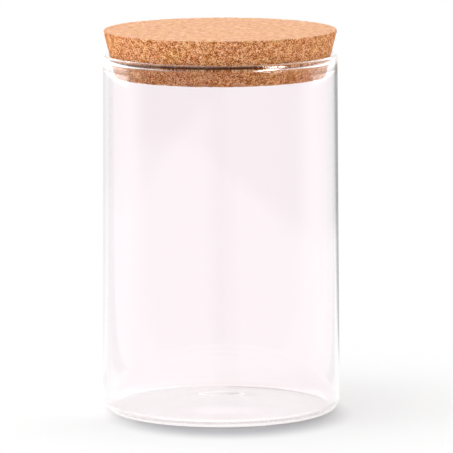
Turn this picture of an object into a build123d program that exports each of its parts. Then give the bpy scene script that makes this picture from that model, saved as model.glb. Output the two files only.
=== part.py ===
from build123d import *
from math import cos, radians, sqrt, tan
import os

# A round glass jar and the tapered cork that closes it, each turned about one upright axis.
# The origin is the centre of the ring that the jar stands on, +Z runs up the axis, and lengths are in mm.
# Each outline lies in the XZ plane as (radius, height) and is revolved once about Z.

# Jar: overall
jar_foot_radius = 50.0  # outside, just above the rounded heel, where the jar is widest
jar_height = 151.0  # from the resting plane to the top of the rim
mouth_narrowing = 0.8  # how much the outside radius shrinks from the foot to the mouth

# Jar: wall and base
wall = 1.8
base_thickness = 2.0
heel_radius = 5.0  # outside rounding between wall and base
floor_corner_radius = 3.0  # inside rounding between wall and floor
foot_ring_width = 7.0  # flat ring that the jar stands on, inside the heel
base_rise = 1.6  # how far the middle of the base is pushed up, outside and inside alike

# Jar: mouth
bead_swell = 0.9  # how much thicker the round bead of the rim is than the wall, all of it on the inside
neck_radius = 1.5  # hollow rounding below the bead, where it runs into the wall
mouth_depth = 6.0  # upright stretch of the outside below the top of the rim

# Cork lid
cork_stand = 10.3  # thickness left standing above the rim
cork_depth = 9.3  # thickness inside the mouth
cork_side_angle = 14.5  # lean of its side from the upright, in degrees
cork_top_edge_radius = 0.6
cork_bottom_edge_radius = 0.6
seat_clearance = 0.3  # all round, where the cork's side comes closest to the rim's rounded bead

# Worked out from the sizes above
mouth_outer_radius = jar_foot_radius - mouth_narrowing
mouth_foot_height = jar_height - mouth_depth
bead_thickness = wall + bead_swell
bead_radius = bead_thickness / 2
bead_centre_radius = mouth_outer_radius - bead_radius
bead_centre_height = jar_height - bead_radius
neck_centre_radius = mouth_outer_radius - wall - neck_radius
neck_centre_height = bead_centre_height - sqrt(bead_swell * (wall + 2 * neck_radius))
heel_inner_radius = jar_foot_radius - heel_radius
ring_inner_radius = heel_inner_radius - foot_ring_width
inner_foot_radius = jar_foot_radius - wall
floor_flat_radius = inner_foot_radius - floor_corner_radius


def jar_outside():
    """Underside, heel, wall and the outer half of the rounded rim, from the axis outwards and up."""
    underside = TangentArc((0, base_rise), (ring_inner_radius, 0), tangent=(1, 0))
    foot_ring = Line((ring_inner_radius, 0), (heel_inner_radius, 0))
    heel = RadiusArc((heel_inner_radius, 0), (jar_foot_radius, heel_radius), -heel_radius)
    body_wall = Line((jar_foot_radius, heel_radius), (mouth_outer_radius, mouth_foot_height))
    mouth_wall = Line((mouth_outer_radius, mouth_foot_height), (mouth_outer_radius, bead_centre_height))
    return [underside, foot_ring, heel, body_wall, mouth_wall]


def jar_rim():
    """Round bead over the top of the wall, and the hollow neck below it on the inside."""
    outer_end = (mouth_outer_radius, bead_centre_height)
    crown = (bead_centre_radius, jar_height)
    bead_share = bead_radius / (bead_radius + neck_radius)
    bead_end_radius = bead_centre_radius + (neck_centre_radius - bead_centre_radius) * bead_share
    bead_end_height = bead_centre_height + (neck_centre_height - bead_centre_height) * bead_share
    bead_end = (bead_end_radius, bead_end_height)
    wall_end = (mouth_outer_radius - wall, neck_centre_height)
    bead = ThreePointArc(outer_end, crown, bead_end)
    neck = RadiusArc(bead_end, wall_end, neck_radius)
    return [bead, neck]


def jar_inside():
    """Inner side of the wall, floor corner and the raised floor, from the neck down to the axis."""
    neck_end = (mouth_outer_radius - wall, neck_centre_height)
    wall_top = (mouth_outer_radius - wall, mouth_foot_height)
    wall_foot = (inner_foot_radius, base_thickness + floor_corner_radius)
    floor_edge = (floor_flat_radius, base_thickness)
    floor_ring_end = (ring_inner_radius, base_thickness)
    floor_middle = (0, base_thickness + base_rise)
    mouth_wall = Line(neck_end, wall_top)
    body_wall = Line(wall_top, wall_foot)
    corner = RadiusArc(wall_foot, floor_edge, floor_corner_radius)
    floor_ring = Line(floor_edge, floor_ring_end)
    floor = TangentArc(floor_middle, floor_ring_end, tangent=(1, 0))
    return [mouth_wall, body_wall, corner, floor_ring, floor]


def make_glass_jar():
    """Thin-walled open jar as one solid of revolution."""
    axis_line = Line((0, base_rise), (0, base_thickness + base_rise))
    outline = Wire(jar_outside() + jar_rim() + jar_inside() + [axis_line])
    section = Plane.XZ * make_face(outline)
    return revolve(section, Axis.Z)


def make_cork_lid():
    """Tapered cork that stops where its side meets the rounded rim, one clearance away from it."""
    lean = tan(radians(cork_side_angle))
    bead_gap = (bead_radius + seat_clearance) / cos(radians(cork_side_angle))
    radius_at_rim = mouth_outer_radius - bead_radius - bead_gap + lean * bead_radius
    top_radius = radius_at_rim + lean * cork_stand
    bottom_radius = radius_at_rim - lean * cork_depth
    thickness = cork_stand + cork_depth
    stopper = Cone(bottom_radius, top_radius, thickness, align=(Align.CENTER, Align.CENTER, Align.MIN))
    stopper = Pos(0, 0, jar_height - cork_depth) * stopper
    top_edge = stopper.edges().filter_by(GeomType.CIRCLE).sort_by(Axis.Z)[-1]
    stopper = fillet(top_edge, cork_top_edge_radius)
    bottom_edge = stopper.edges().filter_by(GeomType.CIRCLE).sort_by(Axis.Z)[0]
    return fillet(bottom_edge, cork_bottom_edge_radius)


sub_parts = {
    "glass_jar": make_glass_jar(),
    "cork_lid": make_cork_lid(),
}

os.makedirs("parts", exist_ok=True)
for node, shape in sub_parts.items():
    export_step(shape, f"parts/{node}.step")
    box = shape.bounding_box()
    print(f"{node}: {len(shape.solids())} solid, {shape.volume:.0f} mm3, z {box.min.Z:.2f} to {box.max.Z:.2f}")
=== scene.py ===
# %% [markdown]
# # A glass jar with a cork lid
# The real object has two pieces. The jar is blown from clear glass, with a wall of about two millimetres,
# a base pushed up a little in the middle, and a rim melted into a round bead. The lid is one disc of
# pressed cork crumbs, turned to a taper. The solid model gives both pieces their size and place, so this
# script starts by loading it and takes every large size from its boxes.

# %% Load the frame
import bmesh
import bpy
from math import atan2, cos, degrees, pi, radians, sin, tan, tau
from mathutils import Matrix, Vector


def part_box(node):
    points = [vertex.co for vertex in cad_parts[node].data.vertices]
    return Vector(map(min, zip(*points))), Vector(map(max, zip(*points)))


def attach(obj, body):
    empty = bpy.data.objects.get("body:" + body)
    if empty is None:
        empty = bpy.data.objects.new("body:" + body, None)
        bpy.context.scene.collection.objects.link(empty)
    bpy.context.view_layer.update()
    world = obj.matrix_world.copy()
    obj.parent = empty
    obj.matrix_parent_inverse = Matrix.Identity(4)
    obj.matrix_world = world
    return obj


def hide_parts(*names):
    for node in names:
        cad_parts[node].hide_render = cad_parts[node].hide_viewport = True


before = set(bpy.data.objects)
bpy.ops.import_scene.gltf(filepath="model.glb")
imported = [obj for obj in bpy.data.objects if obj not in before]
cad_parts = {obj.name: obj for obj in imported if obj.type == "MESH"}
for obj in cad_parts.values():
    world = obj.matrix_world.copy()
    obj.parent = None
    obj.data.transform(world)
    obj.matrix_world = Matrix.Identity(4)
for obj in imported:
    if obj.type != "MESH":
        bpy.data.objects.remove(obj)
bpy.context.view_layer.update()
mm = 0.001
_, jar_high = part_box("glass_jar")
lid_low, lid_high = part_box("cork_lid")
jar_radius = jar_high.x
jar_height = jar_high.z
lid_radius = lid_high.x
lid_top = lid_high.z
lid_bottom = lid_low.z
print("jar radius and height in mm:", round(jar_radius / mm, 1), round(jar_height / mm, 1))

# %% [markdown]
# ## The camera
# The photograph was taken from about two metres away with a long lens, a little above the jar: the
# ellipse of the cork's top is flatter than that of the foot, and the two together give the distance. A
# camera can be turned by three angles, but it is easier to read where it stands and what it looks at. So
# it is aimed at a point near the axis, and the slight roll of the photograph is added afterwards.

# %% Camera
camera_place = Vector((0, -2215.7 * mm, 389.6 * mm))
camera_aim = Vector((2.4 * mm, 0, 77.7 * mm))
camera_roll = radians(-0.19)
camera_lens_mm = 422.0
sensor_mm = 36.0
nearest_seen, furthest_seen = 0.1, 100.0

camera_data = bpy.data.cameras.new("camera")
camera_data.lens = camera_lens_mm
camera_data.sensor_width = sensor_mm
camera_data.clip_start = nearest_seen
camera_data.clip_end = furthest_seen
camera = bpy.data.objects.new("camera", camera_data)
turn = (camera_aim - camera_place).to_track_quat("-Z", "Y").to_matrix().to_4x4()
camera.matrix_world = Matrix.Translation(camera_place) @ turn @ Matrix.Rotation(camera_roll, 4, "Z")
bpy.context.scene.collection.objects.link(camera)
bpy.context.scene.camera = camera
down = degrees((camera_aim - camera_place).angle(Vector((0, 1, 0))))
print("the camera looks down by", round(down, 2), "degrees")

# %% [markdown]
# ## Writing node trees as sums
# A material or a geometry tree is a web of small nodes, and built by hand its maths is hard to read. One
# way is to add each node and each link on its own line. Here a small class wraps a socket instead, so
# that a sum in Python adds the Math nodes, and one method of a second class adds every other kind of
# node.

# %% A socket that can be added and multiplied
class Socket:
    """One output of a node. Sums with it add Math nodes to the same tree."""

    def __init__(self, tree, output):
        self.tree = tree
        self.output = output

    def __getitem__(self, name):
        return Socket(self.tree, self.output.node.outputs[name])

    def math(self, operation, first, second=0.0):
        return self.tree.node("ShaderNodeMath", {"operation": operation}, {0: first, 1: second})

    def __add__(self, other):
        return self.math("ADD", self, other)

    def __radd__(self, other):
        return self.math("ADD", other, self)

    def __sub__(self, other):
        return self.math("SUBTRACT", self, other)

    def __rsub__(self, other):
        return self.math("SUBTRACT", other, self)

    def __mul__(self, other):
        return self.math("MULTIPLY", self, other)

    def __rmul__(self, other):
        return self.math("MULTIPLY", other, self)

    def __truediv__(self, other):
        return self.math("DIVIDE", self, other)

    def __rtruediv__(self, other):
        return self.math("DIVIDE", other, self)

    def __abs__(self):
        return self.math("ABSOLUTE", self)

    def above(self, limit):
        return self.math("GREATER_THAN", self, limit)

    def larger_of(self, other):
        return self.math("MAXIMUM", self, other)

    def smaller_of(self, other):
        return self.math("MINIMUM", self, other)


# %% A tree that takes nodes one at a time
class Tree:
    """A node tree. node() adds one node of any kind and gives its first output."""

    def __init__(self, nodes_and_links):
        self.web = nodes_and_links

    def node(self, kind, settings=None, sockets=None):
        new = self.web.nodes.new(kind)
        for name, setting in (settings or {}).items():
            if name == "stops":
                self.set_stops(new.color_ramp, setting)
            else:
                setattr(new, name, setting)
        for place, given in (sockets or {}).items():
            self.join(given, new.inputs[place])
        return Socket(self, new.outputs[0]) if new.outputs else new

    def join(self, given, target):
        if isinstance(given, Socket):
            self.web.links.new(given.output, target)
        else:
            target.default_value = given

    def set_stops(self, ramp, stops):
        while len(ramp.elements) < len(stops):
            ramp.elements.new(1.0)
        for element, (place, colour) in zip(ramp.elements, stops):
            element.position = place
            element.color = (*colour, 1.0)

    def smooth_step(self, value, low, high):
        """0 below low, 1 above high, and an even rise between."""
        settings = {"interpolation_type": "SMOOTHSTEP"}
        return self.node("ShaderNodeMapRange", settings, {"Value": value, "From Min": low, "From Max": high})

    def mix_colour(self, share, first, second, way="MIX"):
        settings = {"data_type": "RGBA", "blend_type": way}
        return self.node("ShaderNodeMix", settings, {0: share, 6: first, 7: second})[2]

    def vector(self, operation, first, second=None, scale=None):
        """A Vector Math node, for sums and lengths of places."""
        sockets = {0: first}
        if second is not None:
            sockets[1] = second
        if scale is not None:
            sockets["Scale"] = scale
        return self.node("ShaderNodeVectorMath", {"operation": operation}, sockets)

    def parts(self, place):
        """The X, Y and Z of a place or a colour, as three sockets."""
        split = self.node("ShaderNodeSeparateXYZ", sockets={"Vector": place})
        return split["X"], split["Y"], split["Z"]


# %% [markdown]
# ## Turning an outline on a lathe
# Both pieces are round, so each is an outline of radius and height turned about one axis. A Screw
# modifier could do it. A geometry tree does the same here, because it can also give the blown wall its
# faint waves in the same pass: it lays a grid with one column for each point of the outline, and rolls it
# up.

# %% Geometry trees and their modifiers
def geometry_tree(name, inputs):
    """A new geometry tree, a wrapper to fill it with, and its named inputs as sockets."""
    group = bpy.data.node_groups.new(name, "GeometryNodeTree")
    group.interface.new_socket("Geometry", in_out="INPUT", socket_type="NodeSocketGeometry")
    for title, kind in inputs.items():
        group.interface.new_socket(title, in_out="INPUT", socket_type="NodeSocket" + kind)
    group.interface.new_socket("Geometry", in_out="OUTPUT", socket_type="NodeSocketGeometry")
    tree = Tree(group)
    return tree, tree.node("NodeGroupInput")


def finish_tree(tree, geometry, material):
    """Ends a tree with smooth shading, Realize Instances and Set Material."""
    smooth = tree.node("GeometryNodeSetShadeSmooth", sockets={"Geometry": geometry})
    solid = tree.node("GeometryNodeRealizeInstances", sockets={"Geometry": smooth})
    dressed = tree.node("GeometryNodeSetMaterial", sockets={"Geometry": solid, "Material": material})
    tree.node("NodeGroupOutput", sockets={"Geometry": dressed})


def add_tree(piece, tree, **values):
    """Puts a tree on a piece as a modifier, and sets its inputs by their identifiers."""
    modifier = piece.modifiers.new(tree.web.name, "NODES")
    modifier.node_group = tree.web
    for item in tree.web.interface.items_tree:
        title = item.name.lower().replace(" ", "_")
        if item.in_out == "INPUT" and title in values:
            modifier[item.identifier] = values[title]


def keep_shape(piece):
    """Turns what the modifiers show into the piece's own mesh, takes them off and measures it."""
    shown = piece.evaluated_get(bpy.context.evaluated_depsgraph_get())
    mesh = bpy.data.meshes.new_from_object(shown)
    piece.modifiers.clear()
    piece.data = mesh
    solid = bmesh.new()
    solid.from_mesh(mesh)
    volume = solid.calc_volume(signed=True)
    open_edges = sum(1 for edge in solid.edges if len(edge.link_faces) != 2)
    solid.free()
    print(piece.name, "has", len(mesh.polygons), "faces,", open_edges, "open edges and holds",
          round(volume / (10 * mm) ** 3, 1), "cubic centimetres")


# %% The lathe
segments_around = 288
weld_distance = 0.01 * mm


def make_lathe():
    """Outline points (radius, 0, height) become a closed solid of revolution."""
    tree, given = geometry_tree("lathe", {
        "Segments": "Int", "Wave Height": "Float", "Wave Width": "Float",
        "Wave Foot": "Float", "Wave Top": "Float", "Material": "Material"})
    points = tree.node("GeometryNodeAttributeDomainSize", sockets={"Geometry": given["Geometry"]})
    columns = given["Segments"] + 1
    grid = tree.node("GeometryNodeMeshGrid", sockets={"Vertices X": points, "Vertices Y": columns})
    index = tree.node("GeometryNodeInputIndex")
    row = index.math("FLOOR", index / columns)
    angle = (index - row * columns) * tau / given["Segments"]
    place = tree.node("GeometryNodeInputPosition")
    drawn = tree.node("GeometryNodeSampleIndex", {"data_type": "FLOAT_VECTOR"},
                      {"Geometry": given["Geometry"], "Value": place, "Index": row})
    radius, _, height = tree.parts(drawn)
    across = radius * angle.math("COSINE", angle)
    along = radius * angle.math("SINE", angle)
    rolled_up = tree.node("ShaderNodeCombineXYZ", sockets={"X": across, "Y": along, "Z": height})
    turned = tree.node("GeometryNodeSetPosition", sockets={"Geometry": grid, "Position": rolled_up})
    outwards = tree.node("GeometryNodeFlipFaces", sockets={"Mesh": turned})
    closed = tree.node("GeometryNodeMergeByDistance", sockets={
        "Geometry": outwards, "Distance": weld_distance})
    finish_tree(tree, wave_wall(tree, given, closed), given["Material"])
    return tree


def wave_wall(tree, given, geometry):
    """Moves the wall in and out by a slow noise that fades towards the foot and the rim."""
    place = tree.node("GeometryNodeInputPosition")
    x, y, z = tree.parts(place)
    width = given["Wave Width"]
    noise = tree.node("ShaderNodeTexNoise", sockets={
        "Vector": tree.vector("SCALE", place, scale=1 / width), "Scale": 1.0, "Detail": 1.0})
    rise = tree.smooth_step(z, given["Wave Foot"], given["Wave Foot"] + width)
    fall = 1 - tree.smooth_step(z, given["Wave Top"] - width, given["Wave Top"])
    push = (noise - 0.5) * given["Wave Height"] * rise * fall
    outward = tree.vector("NORMALIZE", tree.node("ShaderNodeCombineXYZ", sockets={"X": x, "Y": y}))
    offset = tree.vector("SCALE", outward, scale=push)
    return tree.node("GeometryNodeSetPosition", sockets={"Geometry": geometry, "Offset": offset})


lathe = make_lathe()
print("the lathe tree has", len(lathe.web.nodes), "nodes")

# %% [markdown]
# ## Drawing an outline
# A few helpers draw an outline in the plane of radius and height. Long stretches get points that crowd
# together at both ends: smooth shading spreads a bend over the whole face next to it, and in glass that
# would show as a false lens.

# %% Helpers for outlines
def arc(centre, size, first, last, steps):
    """Points round a centre, from one angle to another in degrees, counted from the radius axis."""
    turns = [radians(first + (last - first) * step / steps) for step in range(steps + 1)]
    return [(centre[0] + size * cos(turn), centre[1] + size * sin(turn)) for turn in turns]


def stretch(start, end, steps):
    """Points between two ends, without the ends, closer together towards both."""
    shares = [(1 - cos(pi * step / steps)) / 2 for step in range(1, steps)]
    return [tuple(a + (b - a) * share for a, b in zip(start, end)) for share in shares]


def swell(ring_radius, edge_height, rise, steps):
    """Points of a gentle rise from a ring to the axis, level at both ends."""
    radii = [ring_radius * (1 - step / steps) for step in range(steps + 1)]
    return [(radius, edge_height + rise * (1 + cos(pi * radius / ring_radius)) / 2) for radius in radii]


def outline_piece(name, outline):
    """A new object whose mesh holds the outline's points, ready for the lathe."""
    mesh = bpy.data.meshes.new(name)
    mesh.from_pydata([(radius, 0, height) for radius, height in outline], [], [])
    piece = bpy.data.objects.new(name, mesh)
    bpy.context.scene.collection.objects.link(piece)
    print(name, "has an outline of", len(outline), "points")
    return piece


# %% [markdown]
# ## Clear glass
# The glass is clear, with a faint rose tone that shows where two walls lie one behind the other. A shader
# that bends light is right to look at, but the renderer then gives the jar a shadow as dark as that of
# stone, because lamps can't be followed through a bend. So rays that look for a lamp meet a clear film
# instead, and the light goes straight through. A few rays are caught in the thick heel, where the glass
# mirrors them to and fro until the renderer gives them up as black. After four mirrorings these meet the
# same film, and leave.

# %% Glass
def new_material(name):
    """A new material, a wrapper to fill it with, and its output node."""
    material = bpy.data.materials.new(name)
    material.use_nodes = True
    material.node_tree.nodes.clear()
    tree = Tree(material.node_tree)
    return material, tree, tree.node("ShaderNodeOutputMaterial")


glass_tone = (0.999, 0.982, 0.987, 1.0)
film_tone = (1.0, 0.99, 0.99, 1.0)
glass_bending = 1.5
most_mirrorings = 4

clear_glass, tree, output = new_material("clear_glass")
body = tree.node("ShaderNodeBsdfPrincipled", sockets={
    "Base Color": glass_tone, "Roughness": 0.0, "IOR": glass_bending, "Transmission Weight": 1.0})
film = tree.node("ShaderNodeBsdfTransparent", sockets={"Color": film_tone})
rays = tree.node("ShaderNodeLightPath")
caught = rays["Glossy Depth"].above(most_mirrorings - 0.5)
let_out = (rays["Is Shadow Ray"] + caught).smaller_of(1.0)
tree.join(tree.node("ShaderNodeMixShader", sockets={0: let_out, 1: body, 2: film}), output.inputs["Surface"])
print("glass bends light by an index of", glass_bending)

# %% [markdown]
# ## The jar
# A blown jar is one skin of glass folded on itself: its outline runs out under the base, up the outside,
# over the bead of the rim, down the inside and back to the axis across the floor. A plain wall with a
# thickness added would have square corners, and glass shows every corner. So the whole outline is drawn
# with its real roundings. The bead matters most: it is a lens as round as a rod, and it spreads the dark
# line where the cork touches the glass into a band.

# %% Jar sizes
wall = 1.8 * mm
base_thickness = 2.0 * mm
heel_radius = 5.0 * mm
floor_corner = 3.0 * mm
foot_ring_width = 7.0 * mm
base_rise = 1.6 * mm
mouth_narrowing = 0.8 * mm
mouth_depth = 6.0 * mm
bead_swell = 0.9 * mm
neck_radius = 1.5 * mm

mouth_radius = jar_radius - mouth_narrowing
mouth_foot = jar_height - mouth_depth
inner_mouth = mouth_radius - wall
heel_inner = jar_radius - heel_radius
ring_inner = heel_inner - foot_ring_width
floor_flat = jar_radius - wall - floor_corner
bead_radius = (wall + bead_swell) / 2
bead_centre = (mouth_radius - bead_radius, jar_height - bead_radius)
neck_drop = (bead_swell * (wall + 2 * neck_radius)) ** 0.5
neck_centre = (inner_mouth - neck_radius, bead_centre[1] - neck_drop)
neck_turn = degrees(atan2(neck_drop, bead_centre[0] - neck_centre[0]))
print("the bead is", round(2 * bead_radius / mm, 2), "mm thick on a wall of", round(wall / mm, 2), "mm")

# %% Jar outline
underside = swell(ring_inner, 0, base_rise, steps=24)[::-1]
heel = arc((heel_inner, heel_radius), heel_radius, -90, 0, steps=14)
bead = arc(bead_centre, bead_radius, 0, 180 + neck_turn, steps=28)
neck = arc(neck_centre, neck_radius, neck_turn, 0, steps=8)
corner = arc((floor_flat, base_thickness + floor_corner), floor_corner, 0, -90, steps=12)
inside_floor = swell(ring_inner, base_thickness, base_rise, steps=24)

outer_bend = (mouth_radius, mouth_foot)
inner_bend = (inner_mouth, mouth_foot)
foot_ring = stretch(underside[-1], heel[0], steps=6)
outer_wall = stretch(heel[-1], outer_bend, steps=40)
outer_mouth = stretch(outer_bend, bead[0], steps=8)
inner_mouth_wall = stretch(neck[-1], inner_bend, steps=6)
inner_wall = stretch(inner_bend, corner[0], steps=40)
floor_ring = stretch(corner[-1], inside_floor[0], steps=6)
outside = underside + foot_ring + heel + outer_wall + [outer_bend] + outer_mouth
inside = inner_mouth_wall + [inner_bend] + inner_wall + corner + floor_ring + inside_floor
jar_outline = outside + bead + neck[1:] + inside
print("the thinnest glass in the outline is", round(min(wall, base_thickness) / mm, 1), "mm")

# %% Turn the jar
jar = outline_piece("jar_glass", jar_outline)
add_tree(jar, lathe, segments=segments_around, wave_height=0.08 * mm, wave_width=45 * mm, wave_foot=6 * mm,
         wave_top=mouth_foot, material=clear_glass)
keep_shape(jar)
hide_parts("glass_jar")
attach(jar, "jar")

# %% [markdown]
# ## The grain of pressed cork
# The lid is pressed from cork crumbs of about one millimetre. Each crumb has its own tan, darker glue
# shows in the seams between them, and here and there one has broken out and left a pit. A picture would
# repeat the same crumbs and could not follow the turned side. So the crumbs are cells of a Voronoi
# pattern in the solid's own space, bent by a noise, and the cuts of the lathe run through them. One
# function gives the pattern to the shape and to the colour alike, so that every dark pit is also a
# hollow.

# %% Crumbs, seams and pits
crumb = 1.15 * mm
bends_per_crumb = 1.6
bend_reach = 0.9 * crumb
seam_width = 0.16
pit_spacing = 2.3 * mm
pit_share = 0.4
pit_floor, pit_brim = 0.12, 0.3
sanded_depth, unsanded_depth = 0.15 * mm, 0.5 * mm


def cork_grain(tree, place):
    """The crumb that a place lies in, as three random numbers, and how far into a seam or a pit it is."""
    wander = tree.node("ShaderNodeTexNoise", sockets={
        "Vector": place, "Scale": bends_per_crumb / crumb, "Detail": 2.0})
    wander = tree.vector("SUBTRACT", wander["Color"], (0.5, 0.5, 0.5))
    bent = tree.vector("ADD", place, tree.vector("SCALE", wander, scale=bend_reach))
    in_crumbs = {"Vector": bent, "Scale": 1 / crumb}
    crumbs = tree.node("ShaderNodeTexVoronoi", sockets=in_crumbs)
    tone, height, gloss = tree.parts(crumbs["Color"])
    edges = tree.node("ShaderNodeTexVoronoi", {"feature": "DISTANCE_TO_EDGE"}, in_crumbs)
    seam = 1 - tree.smooth_step(edges, 0.0, seam_width)
    pits = tree.node("ShaderNodeTexVoronoi", sockets={"Vector": bent, "Scale": 1 / pit_spacing})
    broken_out = 1 - tree.parts(pits["Color"])[0].above(pit_share)
    open_pit = (1 - tree.smooth_step(pits["Distance"], pit_floor, pit_brim)) * broken_out
    return tone, height, gloss, seam, open_pit


def sanded_share(tree, height):
    """1 on the two flat faces of the lid, which were sanded, and 0 on its side."""
    top = tree.smooth_step(height, lid_top - unsanded_depth, lid_top - sanded_depth)
    bottom = 1 - tree.smooth_step(height, lid_bottom + sanded_depth, lid_bottom + unsanded_depth)
    return top + bottom


print("a crumb is", round(crumb / mm, 2), "mm, with a pit every", round(pit_spacing / mm, 1), "mm at most")

# %% [markdown]
# ## The colour of cork
# All of cork's tans lie on one line, from the near-black brown of bark through orange tan to cream, and
# blue fades along it faster than red. So one number says how light a spot is: the crumb's own tone, plus
# fine mottling, less a little for the dark glue in the seams and a lot in the pits, where it is painted
# shade. A ramp then gives the colour. A slow drift between yellow and pink lies over it. The flat faces
# are sanded and painted paler: partly pale dust in their pores, which evens them out, partly a painted
# sheen of the light that grazes them. Where the rim's bead presses, a dark ring is painted on the cork as
# the shade in the crevice between cork and glass, weaker towards the right.

# %% Cork colour
cork_tans = [(0.0, (0.14, 0.022, 0.002)), (0.25, (0.40, 0.086, 0.011)), (0.5, (0.70, 0.215, 0.050)),
             (0.75, (0.97, 0.44, 0.17)), (1.0, (1.0, 0.72, 0.44))]
# the flat faces' paler tans are sanding dust and, in part, a painted sheen of the light grazing the top
dust_and_sheen_tans = [(0.0, (0.68, 0.30, 0.14)), (0.5, (0.87, 0.468, 0.270)), (1.0, (1.0, 0.68, 0.46))]
drift_tints = [(0.35, (1.0, 1.025, 0.95)), (0.5, (1.0, 1.0, 1.0)), (0.65, (1.0, 0.97, 1.04))]
mottles_per_mm, patches_per_mm, drifts_per_mm = 3.0, 0.36, 0.13

pressed_cork, tree, output = new_material("pressed_cork")
space = tree.node("ShaderNodeTexCoord")["Object"]
height_in_lid = tree.parts(space)[2]
tone, lift, gloss, seam, open_pit = cork_grain(tree, space)
sanded = sanded_share(tree, height_in_lid)
mottle = tree.node("ShaderNodeTexNoise", sockets={
    "Vector": space, "Scale": mottles_per_mm / mm, "Detail": 1.0, "Roughness": 0.6})
patches = tree.node("ShaderNodeTexNoise", sockets={
    "Vector": space, "Scale": patches_per_mm / mm, "Detail": 3.0, "Roughness": 0.6})
drift = tree.node("ShaderNodeTexNoise", sockets={
    "Vector": space, "Scale": drifts_per_mm / mm, "Detail": 1.0})


def lightness(level, tone_share, mottle_share, patch_share, seam_loss, pit_shade):
    """How light a spot is: a level, varied by three patterns, less dark glue in the seams and painted shade
    in the pits.
    """
    varied = level + (tone - 0.5) * tone_share + (mottle - 0.5) * mottle_share + (patches - 0.5) * patch_share
    # the darkening in the pits is painted shade
    return varied - seam * seam_loss - open_pit * pit_shade


side_light = lightness(
    level=0.56, tone_share=0.40, mottle_share=3.6, patch_share=0.5, seam_loss=0.13, pit_shade=0.35)
flat_light = lightness(
    level=0.54, tone_share=0.36, mottle_share=1.8, patch_share=1.8, seam_loss=0.10, pit_shade=0.5)
side_tan = tree.node("ShaderNodeValToRGB", {"stops": cork_tans}, {"Fac": side_light})
flat_tan = tree.node("ShaderNodeValToRGB", {"stops": dust_and_sheen_tans}, {"Fac": flat_light})
tint = tree.node("ShaderNodeValToRGB", {"stops": drift_tints}, {"Fac": drift})
coloured = tree.mix_colour(sanded, side_tan, flat_tan)
coloured = tree.mix_colour(1.0, coloured, tint, "MULTIPLY")
print("the side has", len(cork_tans), "tans and the sanded faces", len(dust_and_sheen_tans))

# %% Painted shade ring and skin of the cork
# painted shade: a dark ring on the cork's side at the height of the rim's bead, standing in for the shadow in
# the crevice between cork and glass
ring_shade_brown = (0.09, 0.025, 0.004, 1.0)
ring_shade_most = 0.97
ring_height = bead_centre[1]
ring_dark, ring_fades_out = 0.2 * mm, 0.6 * mm
ring_shade_fade_start, ring_shade_fade_full, ring_shade_fade_share = 10 * mm, 24 * mm, 0.7
lift_rise, mottle_rise, seam_drop, pit_drop = 0.4, 0.8, 0.3, 0.6
least_rough, rough_spread = 0.78, 0.14

from_ring = abs(height_in_lid - ring_height)
ring_shade = 1 - tree.smooth_step(from_ring, ring_dark, ring_fades_out)
# the painted ring shade is made weaker towards the right
ring_shade_fade = tree.smooth_step(tree.parts(space)[0], ring_shade_fade_start, ring_shade_fade_full) * ring_shade_fade_share
ring_shade = ring_shade * (1 - ring_shade_fade)
coloured = tree.mix_colour(ring_shade * ring_shade_most, coloured, ring_shade_brown)
relief = lift * lift_rise + mottle * mottle_rise - seam * seam_drop - open_pit * pit_drop
bumps = tree.node("ShaderNodeBump", sockets={"Strength": 0.6, "Distance": 0.2 * mm, "Height": relief})
skin = tree.node("ShaderNodeBsdfPrincipled", sockets={
    "Base Color": coloured, "Roughness": least_rough + gloss * rough_spread, "Normal": bumps,
    "Specular IOR Level": 0.12})
tree.join(skin, output.inputs["Surface"])
print("the cork material has", len(tree.web.nodes), "nodes")

# %% [markdown]
# ## The lid
# The lid is turned like the jar, then covered with an even net of small faces by a voxel remesh, because
# a lathe's faces are too long to carry crumbs. A second geometry tree moves that net in and out: one crumb
# stands a tenth of a millimetre or so above the next, pits are sunk, and the sharp edges are nibbled as on
# a cork that has been in use.

# %% Lid outline
edge_round = 0.6 * mm
side_lean = radians(14.5)
widening = tan(side_lean)
corner_loss = edge_round * (widening + 1 / cos(side_lean) - 1)
top_sharp = lid_radius + corner_loss
bottom_sharp = top_sharp - widening * (lid_top - lid_bottom)
top_centre = (lid_radius - edge_round, lid_top - edge_round)
bottom_centre = (bottom_sharp - edge_round * (1 / cos(side_lean) - widening), lid_bottom + edge_round)
top_edge = arc(top_centre, edge_round, 90, degrees(-side_lean), steps=6)
bottom_edge = arc(bottom_centre, edge_round, degrees(-side_lean), -90, steps=6)
bottom_face = [(0, lid_bottom)] + stretch((0, lid_bottom), bottom_edge[-1], steps=40)
lid_side = stretch(bottom_edge[0], top_edge[-1], steps=20)
top_face = stretch(top_edge[0], (0, lid_top), steps=40) + [(0, lid_top)]
lid_outline = bottom_face + bottom_edge[::-1] + lid_side + top_edge[::-1] + top_face
print("the narrow end of the cork is", round(bottom_sharp / mm, 2), "mm in radius before its edge is rounded")

# %% Relief of the cork
level_crumb = 0.7
seam_share = 0.3
flat_calm = 0.7
chips_per_crumb = 0.5
chipped_from, chipped_to = 0.6 * mm, 1.4 * mm
chip_limit, chip_full = 0.5, 0.66


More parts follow.
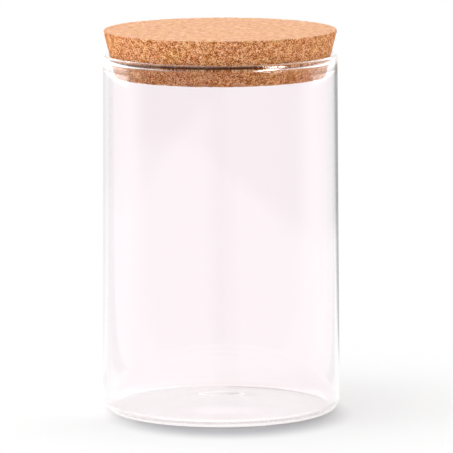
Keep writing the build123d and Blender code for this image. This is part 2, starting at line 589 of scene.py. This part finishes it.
def make_relief():
    """Moves each point along its normal by the crumbs, pits and nibbled edges of the cork."""
    tree, given = geometry_tree("cork_relief", {
        "Crumb Height": "Float", "Pit Depth": "Float", "Chip Depth": "Float", "Material": "Material"})
    place = tree.node("GeometryNodeInputPosition")
    x, y, z = tree.parts(place)
    _, lift, _, seam, open_pit = cork_grain(tree, place)
    calm = 1 - sanded_share(tree, z) * flat_calm
    raised = (lift - level_crumb - seam * seam_share) * given["Crumb Height"] * calm
    sunk = open_pit * given["Pit Depth"] * calm
    radius = tree.vector("LENGTH", tree.node("ShaderNodeCombineXYZ", sockets={"X": x, "Y": y}))["Value"]
    ragged = tree.node("ShaderNodeTexNoise", sockets={
        "Vector": place, "Scale": chips_per_crumb / crumb, "Detail": 1.0})
    chips = 0.0
    for edge_radius, edge_height in (top_centre, bottom_centre):
        offset = tree.node("ShaderNodeCombineXYZ", sockets={"X": radius - edge_radius, "Y": z - edge_height})
        from_edge = tree.vector("LENGTH", offset)["Value"]
        chips = chips + (1 - tree.smooth_step(from_edge, chipped_from, chipped_to))
    nibbled = chips * tree.smooth_step(ragged, chip_limit, chip_full) * given["Chip Depth"]
    offset = tree.vector("SCALE", tree.node("GeometryNodeInputNormal"), scale=raised - sunk - nibbled)
    moved = tree.node("GeometryNodeSetPosition", sockets={"Geometry": given["Geometry"], "Offset": offset})
    finish_tree(tree, moved, given["Material"])
    return tree


# %% Turn the lid
net_size = 0.52 * mm

lid = outline_piece("cork_stopper", lid_outline)
add_tree(lid, lathe, segments=segments_around, wave_width=1.0, material=pressed_cork)
keep_shape(lid)
net = lid.modifiers.new("net", "REMESH")
net.mode = "VOXEL"
net.voxel_size = net_size
add_tree(lid, make_relief(), crumb_height=0.16 * mm, pit_depth=0.35 * mm, chip_depth=0.3 * mm,
         material=pressed_cork)
keep_shape(lid)
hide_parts("cork_lid")
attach(lid, "lid")

# %% [markdown]
# ## The studio
# The photograph is a plain product shot on white. The paper under the jar is white by its own colour and
# carries a soft shadow. Further off, rays that come straight from the camera meet a plain white glow, and
# so do rays that come through the glass. Light that the cork scatters must not meet that glow, or the
# cork would look brighter inside the glass than above it. The renderer counts how often a ray was
# mirrored and how often it was scattered, so one helper sorts the rays for the paper and for the room
# round it.

# %% Sheet of paper
paper_size = 12.0
below_jar = 0.05 * mm
corners = [(x * paper_size, y * paper_size, -below_jar) for x, y in ((-1, -1), (1, -1), (1, 1), (-1, 1))]

paper_mesh = bpy.data.meshes.new("paper")
paper_mesh.from_pydata(corners, [], [(0, 1, 2, 3)])
paper = bpy.data.objects.new("paper", paper_mesh)
bpy.context.scene.collection.objects.link(paper)
print("the paper is", 2 * paper_size, "m wide")


# %% Sorting the rays
def ray_kinds(tree):
    """The Light Path node, and masks for rays that see the studio, were mirrored, or came through glass.

    Its counts are whole numbers, so a limit of 0.5 means at least once, and 1.5 at least twice.
    """
    rays = tree.node("ShaderNodeLightPath")
    by_sight = (rays["Is Camera Ray"] + rays["Is Glossy Ray"] + rays["Is Transmission Ray"]).smaller_of(1.0)
    seen = by_sight * (1 - rays["Diffuse Depth"].above(0.5))
    mirrored = rays["Glossy Depth"].above(0.5)
    mirrored_once = mirrored * (1 - rays["Glossy Depth"].above(1.5))
    through = rays["Is Transmission Ray"] * (1 - mirrored)
    return rays, seen, mirrored, mirrored_once, through


white_paper, tree, output = new_material("white_paper")
rays, seen, mirrored, mirrored_once, through = ray_kinds(tree)
space = tree.node("ShaderNodeTexCoord")["Object"]
x, y, _ = tree.parts(space)
from_jar = tree.vector("LENGTH", space)["Value"]
print("the rays are sorted by", len(tree.web.nodes), "nodes")

# %% [markdown]
# ## What the glass mirrors
# Clear glass on white paper shows only by what it mirrors: little where it is met head on, and nearly all
# at its edges. A wall that stands upright mirrors the floor, and the higher a spot is on the jar, the
# further off its floor lies. So the real studio can be read from the jar and drawn as masks on the floor
# that only mirrored rays meet. The pool of white paper ends in a curve, seen as a dome on the wall, and a
# dim room begins there. A grey card to the right of the rear and a fainter one to the left draw the jar's
# edges, and a bright panel at the far rear lays a pale veil over both ends of the cork in the glass.
# Something dim in front is the upright strip in the middle.

# %% Pool of paper and dim room
pool_middle = (-0.2, -0.18, 0.0)
pool_inner, pool_outer = 0.76, 0.92
pool_front, pool_more_behind = 0.6, 0.4
room_front, room_rear, loss_on_right = 0.20, 0.95, 0.15
right_start, right_full = -0.1, 0.25
behind_fade = 0.3

from_pool = tree.vector("LENGTH", tree.vector("SUBTRACT", space, pool_middle))["Value"]
beyond_pool = tree.smooth_step(from_pool, pool_inner, pool_outer)
on_right = tree.smooth_step(x, right_start, right_full)
behind = tree.smooth_step(y / from_jar, -behind_fade, behind_fade)
pool_light = pool_front + behind * pool_more_behind
front_light = room_front - on_right * loss_on_right
rear_light = room_rear - on_right * loss_on_right
room_light = front_light + behind * (rear_light - front_light)
reflected = pool_light + beyond_pool * (room_light - pool_light)
print("the pool of paper fades out between", pool_inner, "and", pool_outer, "m from its middle")

# %% Bright panel at the far rear
panel_start, panel_full = 1.32, 1.40
panel_side, panel_side_full = 0.18, 0.26
panel_light, panel_loss_on_right = 3.0, 1.4

far_off = tree.smooth_step(from_jar, panel_start, panel_full)
at_rear = tree.smooth_step(y / from_jar, panel_side, panel_side_full)
panel = far_off * at_rear * (panel_light - on_right * panel_loss_on_right)
reflected = reflected + panel * mirrored_once
print("the bright panel starts", panel_start, "m away from the jar")


# %% Cards at the rear and a dim spot in front
card_start, card_end = (0.0, 0.06), (0.45, 0.6)
right_card_loss, left_card_loss = 0.55, 0.1
dim_place, dim_inner, dim_outer, dim_loss = 0.09, 0.1, 0.25, 0.25
least_light = 0.03


def card(tree, aslant):
    """A card behind the jar, from the middle line out to places about half as far aside as they are back."""
    return tree.smooth_step(aslant, *card_start) * (1 - tree.smooth_step(aslant, *card_end)) * behind


aslant = x / y.larger_of(mm)
sideways = x / (-1 * y).larger_of(mm)
in_front = 1 - tree.smooth_step(abs(sideways - dim_place), dim_inner, dim_outer)
cards = card(tree, aslant) * right_card_loss + card(tree, -1 * aslant) * left_card_loss
reflected = (reflected * (1 - cards) - in_front * dim_loss).larger_of(least_light)
print("the right card takes away", right_card_loss, "of the light and the left one", left_card_loss)

# %% [markdown]
# ## The paper itself
# The white of the paper is a matt surface near the jar, where it takes shadows, and a plain glow further
# off. The soft shade at the front of the foot is darker than the lamps alone would make it, as in the
# photograph, so a mask deepens it. Seen through the jar, the white has a faint rose cast, and it glows
# even right under the jar, because the base would look grey otherwise. The glow never quite replaces the
# matt surface, because the renderer's noise filter would draw a line where one of them stopped.

# %% Matt white and shade
paper_white = (0.96, 0.96, 0.96, 1.0)
shade_grey = (0.54, 0.54, 0.56, 1.0)
white_through_glass = (1.0, 0.965, 0.975, 1.0)
shade_place = (3 * mm, -14 * mm)
shade_inner, shade_outer = 34 * mm, 55 * mm
shade_flattening = 0.85

shade_offset = tree.node("ShaderNodeCombineXYZ", sockets={
    "X": x - shade_place[0], "Y": (y - shade_place[1]) * shade_flattening})
from_shade = tree.vector("LENGTH", shade_offset)["Value"]
shade = (1 - tree.smooth_step(from_shade, shade_inner, shade_outer)) * rays["Is Camera Ray"]
own_white = tree.mix_colour(through, tree.mix_colour(shade, paper_white, shade_grey), white_through_glass)
matt = tree.node("ShaderNodeBsdfDiffuse", sockets={"Color": own_white})
shade_end = shade_outer / shade_flattening - shade_place[1]
print("the shade ends", round(shade_end / mm), "mm in front of the axis")

# %% Glow
glow_start, glow_full, nearer_in_mirrors = 55 * mm, 200 * mm, 140 * mm
least_glow, most_glow = 0.6, 0.999
gain_through_glass = 0.06
plain_white = (1.0, 1.0, 1.0, 1.0)
rose_cast = (1.0, 0.94, 0.962, 1.0)

cast = tree.mix_colour(through, plain_white, rose_cast)
strength = 1 + through * gain_through_glass + mirrored * (reflected - 1)
glow = tree.node("ShaderNodeEmission", sockets={"Color": cast, "Strength": strength})
glow_share = tree.smooth_step(from_jar, glow_start, glow_full - mirrored * nearer_in_mirrors)
glow_share = seen * glow_share.larger_of(through * least_glow) * most_glow
surface = tree.node("ShaderNodeMixShader", sockets={0: glow_share, 1: matt, 2: glow})
underneath = tree.node("ShaderNodeNewGeometry")["Backfacing"]
nothing = tree.node("ShaderNodeBsdfTransparent")
surface = tree.node("ShaderNodeMixShader", sockets={0: underneath, 1: surface, 2: nothing})
tree.join(surface, output.inputs["Surface"])
paper_mesh.materials.append(white_paper)
print("the paper material has", len(tree.web.nodes), "nodes")

# %% [markdown]
# ## The room
# Above the paper is a white room. It lights the cork at a plain level, a little more from behind than
# from in front. In mirrors it is dark in front, which keeps the brown line of the rim deep, and bright at
# the upper rear. The wall of the jar mirrors only the floor, because the camera looks down on it, but the
# round bead of the rim mirrors every height. So a tall strip lamp at the front right of the room shows in
# the bead alone, as a white glint. Rays that have entered the glass twice meet neither the dark front nor
# this lamp, so that the base stays clear.

# %% World
light_rise, light_level, light_more_behind = (-0.8, 0.6), 0.41, 0.55
dark_end, dark_loss = (-0.6, -0.1), 0.97
bright_start, bright_foot, bright_gain = (0.1, 0.6), (0.25, 0.45), 1.2
strip_left, strip_right = (1.05, 1.3), (2.0, 3.0)
strip_foot, strip_top, strip_light = (-0.05, 0.05), (0.75, 0.9), 18.0

world = bpy.data.worlds.new("white_room")
bpy.context.scene.world = world
world.use_nodes = True
world.node_tree.nodes.clear()
tree = Tree(world.node_tree)
rays, seen, mirrored, mirrored_once, _ = ray_kinds(tree)
x, y, z = tree.parts(tree.node("ShaderNodeTexCoord")["Generated"])
light = light_level + tree.smooth_step(y, *light_rise) * light_more_behind
entered_once = 1 - rays["Transmission Depth"].above(2.5)
dark_front = (1 - tree.smooth_step(y, *dark_end)) * entered_once
bright_rear = tree.smooth_step(y, *bright_start) * tree.smooth_step(z, *bright_foot)
aside = x / (-1 * y).larger_of(mm)
strip = tree.smooth_step(aside, *strip_left) * (1 - tree.smooth_step(aside, *strip_right))
strip = strip * tree.smooth_step(z, *strip_foot) * (1 - tree.smooth_step(z, *strip_top)) * entered_once
added = mirrored_once * (bright_rear * bright_gain + strip * strip_light)
white = 1 + added - mirrored * dark_front * dark_loss
room = tree.node("ShaderNodeBackground", sockets={
    "Color": plain_white, "Strength": light + seen * (white - light)})
tree.node("ShaderNodeOutputWorld", sockets={"Surface": room})
print("the room has", len(tree.web.nodes), "nodes")

# %% [markdown]
# ## Lamps
# Three soft boxes do the rest: a large one high on the left for the top of the cork, one low on the left
# for the left half of its side, and a smaller, brighter one on the right that adds to the glint in the
# rim. Each is placed by the direction that its light comes from, which can be read from its glint: a
# round surface mirrors a lamp halfway between the lamp and the camera. Seen through the glass they would
# leave white patches in the base, which the photograph doesn't show, so rays that come through the glass
# don't meet them. The low left one is kept out of mirrors too.

# %% Lamps
jar_middle = Vector((0, 0, jar_height / 2))
lamp_distance = 1.6


def soft_box(name, azimuth, elevation, width, height, brightness):
    """A lamp seen from the jar at an azimuth, counted from the camera to the right, and an elevation."""
    azimuth, elevation = radians(azimuth), radians(elevation)
    direction = Vector((sin(azimuth) * cos(elevation), -cos(azimuth) * cos(elevation), sin(elevation)))
    data = bpy.data.lights.new(name, "AREA")
    data.shape = "RECTANGLE"
    data.size = width
    data.size_y = height
    data.energy = pi * width * height * brightness
    lamp = bpy.data.objects.new(name, data)
    lamp.location = jar_middle + direction * lamp_distance
    lamp.rotation_euler = direction.to_track_quat("Z", "Y").to_euler()
    lamp.visible_transmission = False
    bpy.context.scene.collection.objects.link(lamp)
    print(name, "gives", round(data.energy, 1), "watts")
    return lamp


soft_box("high_left_box", azimuth=-41, elevation=66, width=1.1, height=1.1, brightness=1.2)
low_left = soft_box("low_left_box", azimuth=-80, elevation=20, width=0.9, height=0.9, brightness=4.4)
low_left.visible_glossy = False
soft_box("right_box", azimuth=57, elevation=22, width=0.45, height=0.3, brightness=11.0)

# %% [markdown]
# ## Finishing
# The colours are shown plainly, through the Standard view transform.

# %% Finish
bpy.context.scene.view_settings.view_transform = "Standard"
